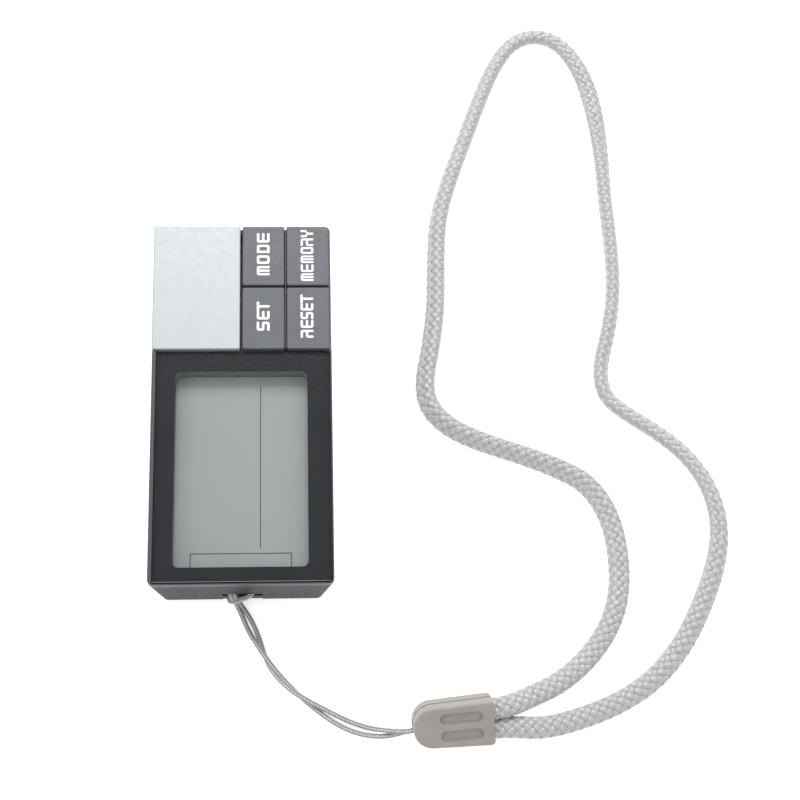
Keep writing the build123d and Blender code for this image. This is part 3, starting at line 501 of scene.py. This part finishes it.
def braid(name, points, along, frames, half_size, pairs, lay, yarn, weave, material, accent=None):
    """Tubular braid over a line: pairs of yarns that wind both ways and pass over and under each other.

    half_size is the half width and half height of the braid's middle surface; yarn is a yarn's half
    width and half thickness, and weave is how far a yarn rises and dips as it passes over and under.
    The yarns that wind the second way take the accent material, if there is one."""
    tangents, across, up = frames
    maker = MeshMaker()
    half_x, half_y = half_size
    slots = []
    for hand in (1, -1):
        for k in range(pairs):
            angle = 2 * pi * (hand * along / lay + k / pairs)
            rise = hand * weave * np.cos(pairs * angle)
            outward = unit(np.stack([np.cos(angle) * half_y, np.sin(angle) * half_x], -1))
            local_x = half_x * np.cos(angle) + rise * outward[:, 0]
            local_y = half_y * np.sin(angle) + rise * outward[:, 1]
            centre = points + across * local_x[:, None] + up * local_y[:, None]
            normal = across * outward[:, :1] + up * outward[:, 1:]
            heading = unit(np.gradient(centre, axis=0))
            normal = unit(normal - heading * np.sum(normal * heading, axis=1, keepdims=True))
            side = np.cross(heading, normal)
            ring = []
            for i in range(YARN_SIDES):
                turn = 2 * pi * (i + 0.5) / YARN_SIDES
                ring.append(centre + side * (yarn[0] * cos(turn)) + normal * (yarn[1] * sin(turn)))
            maker.strand(np.stack(ring, axis=1), along)
        slots += [(hand < 0) * 2] * (len(maker.faces) - len(slots))
    # a core fills the tube, so no light comes through between the yarns; its dark colour is painted shade in
    # the gaps between the yarns
    shadow = Shader(name + "_painted_shade_core", rough=0.8)
    shadow.colour(shadow.noise(900), shade(0.10), shade(0.14))
    core_x = CORE_REACH * half_x
    core_y = CORE_REACH * half_y
    core = []
    for i in range(CORE_SIDES):
        turn = 2 * pi * i / CORE_SIDES
        core.append(points + across * (core_x * cos(turn)) + up * (core_y * sin(turn)))
    maker.strand(np.stack(core, axis=1)[::2], along[::2])
    slots += [1] * (len(maker.faces) - len(slots))
    made = maker.build(name, material)
    made.data.materials.append(shadow.material)
    made.data.materials.append(accent or material)
    made.data.polygons.foreach_set("material_index", slots)
    return made


def fibre(name, value, tint, rough, sheen, specular=0.85):
    """Spun filament yarn: fine lines along the strand that vary in tone, darker in the gaps between them as
    painted shade.
    """
    made = Shader(name, rough=rough, specular=specular)
    made.surface.inputs["Sheen Weight"].default_value = sheen
    made.surface.inputs["Sheen Roughness"].default_value = 0.4
    lines = made.noise(1.0, detail=3, rough=0.6, vector=made.coordinates((30, 500, 1), "UV"))
    made.colour(lines, shade(value * 0.72, tint), shade(value * 1.14, tint))
    made.bump(lines, 0.00006)
    return made.material


def blended(values):
    """The values along a cord, smoothed over a short stretch."""
    kernel = np.hanning(CORD_BLEND)
    return np.convolve(np.pad(values, CORD_BLEND // 2, mode="edge"), kernel / kernel.sum(), mode="valid")


def make_wrist_cord():
    line = smooth_line("wrist_cord_line", metres(WRIST_ROUTE))
    points, along = resample(line, CORD_STEP)
    tangents, across, up = level_frames(points)
    length = along[-1]
    places = np.array(CORD_PLACES) * MM
    roll = blended(np.interp(along, places * length / places[-1], np.radians(CORD_ROLLS)))
    wide = across * np.cos(roll)[:, None] + up * np.sin(roll)[:, None]
    thick = up * np.cos(roll)[:, None] - across * np.sin(roll)[:, None]
    # lying stretches rest on the table whichever way the section is rolled
    reach = np.sqrt((CORD_HALF_WIDE * np.sin(roll)) ** 2 + (CORD_HALF_THICK * np.cos(roll)) ** 2) + CORD_SKIN
    resting = points[:, 2] < CORD_LYING_BELOW
    body = points.copy()
    body[:, 2] += blended(np.where(resting, reach + CORD_CLEARANCE - points[:, 2], 0.0))
    cord = braid("wrist_cord_braid", body, along, (tangents, wide, thick), (CORD_HALF_WIDE, CORD_HALF_THICK),
                 CORD_PAIRS, CORD_LAY, CORD_YARN, CORD_WEAVE,
                 fibre("cord_polyester", 0.455, CORD_TINT, 0.3, 0.15))
    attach(cord, "housing")
    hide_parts("wrist_cord")


def make_strings():
    material = fibre("string_polyester", 0.62, STRING_TINT, 0.5, 0.2, specular=0.5)
    darker = fibre("string_polyester_grey", 0.25, STRING_TINT, 0.5, 0.1, specular=0.3)
    pieces = []
    for name, route in (("string_strand_a", STRAND_A_ROUTE), ("string_strand_b", STRAND_B_ROUTE)):
        points, along = resample(smooth_line(name + "_line", metres(route)), STRING_STEP)
        strand = braid(name + "_braid", points, along, carried_frames(points), STRING_HALF_SIZE, STRING_PAIRS,
                       STRING_LAY, STRING_YARN, STRING_WEAVE, material, accent=darker)
        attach(strand, "housing")
        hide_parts(name)
        pieces.append((strand, points, along))
    line = smooth_line("string_hitch_line", metres(HITCH_ROUTE), cyclic=True)
    points, along = resample(line, STRING_STEP, closed=True)
    # the loop holds a whole number of lays, so that its yarns meet
    lay = along[-1] / round(along[-1] / STRING_LAY)
    hitch = braid("string_hitch_braid", points, along, carried_frames(points, True), STRING_HALF_SIZE,
                  STRING_PAIRS, lay, STRING_YARN, STRING_WEAVE, material, accent=darker)
    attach(hitch, "housing")
    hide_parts("string_hitch")
    assign(material, "string_knot")
    strand, points, along = pieces[0]
    strand, points, along = pieces[1]


def dress_clip():
    clip = moulded_plastic("clip_plastic_texture", 0.28, CLIP_TINT, 0.5, 3200, 0.000012)
    assign(clip, "clip_front_shell", "clip_rear_shell")


# ---- key labels and display lines -----------------------------------------------------------------
def letter_outlines(letter, w, h, t, leg):
    """Outlines of a squared capital letter: corner points, and which corners are well rounded."""
    low, high = (h - t) / 2, (h + t) / 2
    left, right = (w - t) / 2, (w + t) / 2
    shapes = {
        "M": [([(0, 0), (leg, 0), (leg, h - t), ((w - leg) / 2, h - t), ((w - leg) / 2, 0),
                ((w + leg) / 2, 0), ((w + leg) / 2, h - t), (w - leg, h - t), (w - leg, 0), (w, 0),
                (w, h), (0, h)], (10, 11))],
        "O": [([(0, 0), (w, 0), (w, h), (0, h)], (0, 1, 2, 3)),
              ([(t, t), (t, h - t), (w - t, h - t), (w - t, t)], ())],
        "D": [([(0, 0), (w, 0), (w, h), (0, h)], (1, 2)),
              ([(t, t), (t, h - t), (w - t, h - t), (w - t, t)], ())],
        "E": [([(0, 0), (w, 0), (w, t), (t, t), (t, low), (w, low), (w, high), (t, high), (t, h - t),
                (w, h - t), (w, h), (0, h)], (0, 11))],
        "S": [([(0, 0), (w, 0), (w, high), (t, high), (t, h - t), (w, h - t), (w, h), (0, h), (0, low),
                (w - t, low), (w - t, t), (0, t)], (1, 2, 7, 8))],
        "T": [([(left, 0), (right, 0), (right, h - t), (w, h - t), (w, h), (0, h), (0, h - t),
                (left, h - t)], ())],
        "R": [([(0, 0), (t, 0), (t, low), (w - t, low), (w - t, 0), (w, 0), (w, h), (0, h), (0, h - t),
                (w - t, h - t), (w - t, high), (0, high)], (6, 11))],
        "Y": [([(left, 0), (right, 0), (right, low), (w, high), (w, h), (w - t, h), (w - t, high + t / 3),
                (w / 2, low + t / 2), (t, high + t / 3), (t, h), (0, h), (0, high), (left, low)], ())],
    }
    return shapes[letter]


def rounded(points, wide_corners):
    """The outline with its corners cut by short arcs."""
    made = []
    count = len(points)
    for i in range(count):
        here = Vector(points[i])
        before = Vector(points[i - 1]) - here
        after = Vector(points[(i + 1) % count]) - here
        reach = LETTER_WIDE_CORNER if i in wide_corners else LETTER_SMALL_CORNER
        start = here + before.normalized() * min(reach, before.length / 2)
        end = here + after.normalized() * min(reach, after.length / 2)
        for step in range(4):
            part = step / 3
            made.append(start * (1 - part) ** 2 + here * (2 * part * (1 - part)) + end * part ** 2)
    return made


def printed_word(name, letters, x_foot, stroke, material, body):
    """Flat lettering that reads towards +Y, its tops towards -X, as a thin printed layer."""
    data = bpy.data.curves.new(name, "CURVE")
    data.dimensions = "2D"
    data.fill_mode = "BOTH"
    data.extrude = PRINT_HALF_THICK
    for letter, y0, y1 in letters:
        width = y1 - y0
        outlines = letter_outlines(letter, width, LETTER_HEIGHT, stroke, LETTER_LEG_SHARE * width)
        for points, wide_corners in outlines:
            outline = rounded(points, wide_corners)
            spline = data.splines.new("POLY")
            spline.points.add(len(outline) - 1)
            for point, place in zip(spline.points, outline):
                point.co = ((x_foot - place.y) * MM, (y0 + place.x) * MM, 0, 1)
            spline.use_cyclic_u = True
    source = linked(name + "_source", data)
    bpy.context.view_layer.update()
    mesh = bpy.data.meshes.new_from_object(source)
    bpy.data.objects.remove(source)
    mesh.name = name
    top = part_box(body)[1][2] + PRINT_LIFT
    for vertex in mesh.vertices:
        vertex.co.z += top
    mesh.materials.clear()
    mesh.materials.append(material)
    made = linked(name, mesh)
    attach(made, body)


def make_labels():
    ink = Shader("label_ink", rough=0.45)
    ink.colour(ink.noise(1800), shade(0.80), shade(0.90))
    ink.bump(ink.noise(5000), 0.000004)
    # each letter with its first and last place along Y; each word with its foot along X and its stroke
    mode = (("M", 27.5, 29.6), ("O", 30.1, 32.05), ("D", 32.6, 34.5), ("E", 35.0, 37.15))
    memory = (("M", 26.2, 27.9), ("E", 28.25, 29.95), ("M", 30.3, 32.0), ("O", 32.4, 33.95),
              ("R", 34.2, 35.95), ("Y", 36.25, 37.9))
    first = (("S", 15.0, 17.0), ("E", 17.5, 19.35), ("T", 19.4, 21.5))
    reset = (("R", 13.4, 15.15), ("E", 15.6, 17.3), ("S", 17.55, 19.15), ("E", 19.5, 21.1), ("T", 21.2, 23.1))
    for key, letters, foot, stroke in (("mode", mode, 5.7, 0.52), ("memory", memory, 14.95, 0.44),
                                       ("set", first, 5.7, 0.52), ("reset", reset, 14.83, 0.48)):
        printed_word(key + "_label", letters, foot, stroke, ink.material, key + "_key")


def flat_bar(points, z):
    """A thin closed strip along X or Y, given by its lowest and highest corners."""
    (x0, y0), (x1, y1) = points
    corners = [(x0, y0, z), (x1, y0, z), (x1, y1, z), (x0, y1, z)]
    corners += [(x, y, z + LINE_THICK) for x, y, z in corners]
    faces = [(3, 2, 1, 0), (4, 5, 6, 7), (0, 1, 5, 4), (1, 2, 6, 5), (2, 3, 7, 6), (3, 0, 4, 7)]
    return corners, faces


def make_display_lines():
    ink = Shader("display_segment", rough=0.4)
    ink.colour(ink.noise(900), shade(0.045, SEGMENT_TINT), shade(0.06, SEGMENT_TINT))
    ink.bump(ink.noise(4000), 0.000002)
    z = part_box("lcd_front_polariser")[1][2] + LINE_LIFT
    half = 0.1
    bars = (((3.76 - half, -30.5), (3.76 + half, 4.4)),
            ((-10.35 - half, -36.0), (-10.35 + half, -31.45)),
            ((10.0 - half, -36.0), (10.0 + half, -31.45)),
            ((-10.45, -31.45 - half), (10.1, -31.45 + half)))
    points = []
    faces = []
    for low, high in bars:
        corners, sides = flat_bar(((low[0] * MM, low[1] * MM), (high[0] * MM, high[1] * MM)), z)
        faces += [[i + len(points) for i in side] for side in sides]
        points += corners
    made = mesh_object("display_lines", points, faces, ink.material)
    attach(made, "housing")


def make_window_seam():
    """The lens's polished end edge with a painted highlight on it, and painted shadow as a near-black strip
    in the gap beyond it.
    """
    edge = Shader("painted_lens_highlight", rough=0.3, specular=0.5)
    edge.colour(edge.noise(500), shade(0.13, FRAME_TINT), shade(0.2, FRAME_TINT))
    edge.bump(edge.noise(2500), 0.000003)
    gap_shadow = Shader("painted_gap_shadow", rough=0.85, specular=0.1)
    gap_shadow.colour(gap_shadow.noise(700), shade(0.003), shade(0.006))
    gap_shadow.bump(gap_shadow.noise(1800), 0.00002)
    (x0, y0, _), (x1, _, top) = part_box("window_lens")
    inset = 0.15 * MM
    seams = (("painted_lens_highlight_line", edge, "window_clear", (y0 - 0.02 * MM, y0 + 0.11 * MM), top - 0.05 * MM),
             ("painted_gap_shadow", gap_shadow, "window_black", (y0 - 0.27 * MM, y0 - 0.02 * MM), top - 0.3 * MM))
    for name, shader, slot, (low, high), z in seams:
        points, faces = flat_bar(((x0 + inset, low), (x1 - inset, high)), z)
        made = mesh_object(name, points, faces, shader.material)
        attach(made, "housing")


def make_opening_wall_light():
    """A lighter grey sheet on the far wall of the display's opening, round both of its corners, as painted
    light on that shaded wall.
    """
    low, high, thick = 9.5 * MM, 12.64 * MM, 0.03 * MM
    left, right, far, corner = -13.73 * MM, 13.48 * MM, 6.48 * MM, 1.28 * MM
    # each point of the path goes with the direction out of the wall there
    path = []
    for step in range(9):
        turn = pi - step * pi / 16
        across, along = cos(turn), sin(turn)
        path.append((left + corner + corner * across, far - corner + corner * along, across, along))
    path += [(left + right - x, y, -across, along) for x, y, across, along in reversed(path)]
    points = []
    for x, y, across, along in path:
        points += [(x, y, low), (x, y, high), (x - across * thick, y - along * thick, high),
                   (x - across * thick, y - along * thick, low)]
    faces = [(3, 2, 1, 0), tuple(len(points) - 4 + i for i in range(4))]
    for i in range(len(path) - 1):
        a, b = 4 * i, 4 * i + 4
        faces += [(a + k, a + (k + 1) % 4, b + (k + 1) % 4, b + k) for k in range(4)]
    wall_light = moulded_plastic("painted_wall_light", 0.155, WALL_LIGHT_TINT, 0.8, 5200, 0.00001)
    made = mesh_object("opening_wall_light", points, faces, wall_light)
    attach(made, "housing")


add_camera()
add_studio()
make_wrist_cord()
make_strings()
dress_case()
dress_window()
dress_inside()
dress_clip()
make_labels()
make_display_lines()
make_window_seam()
make_opening_wall_light()
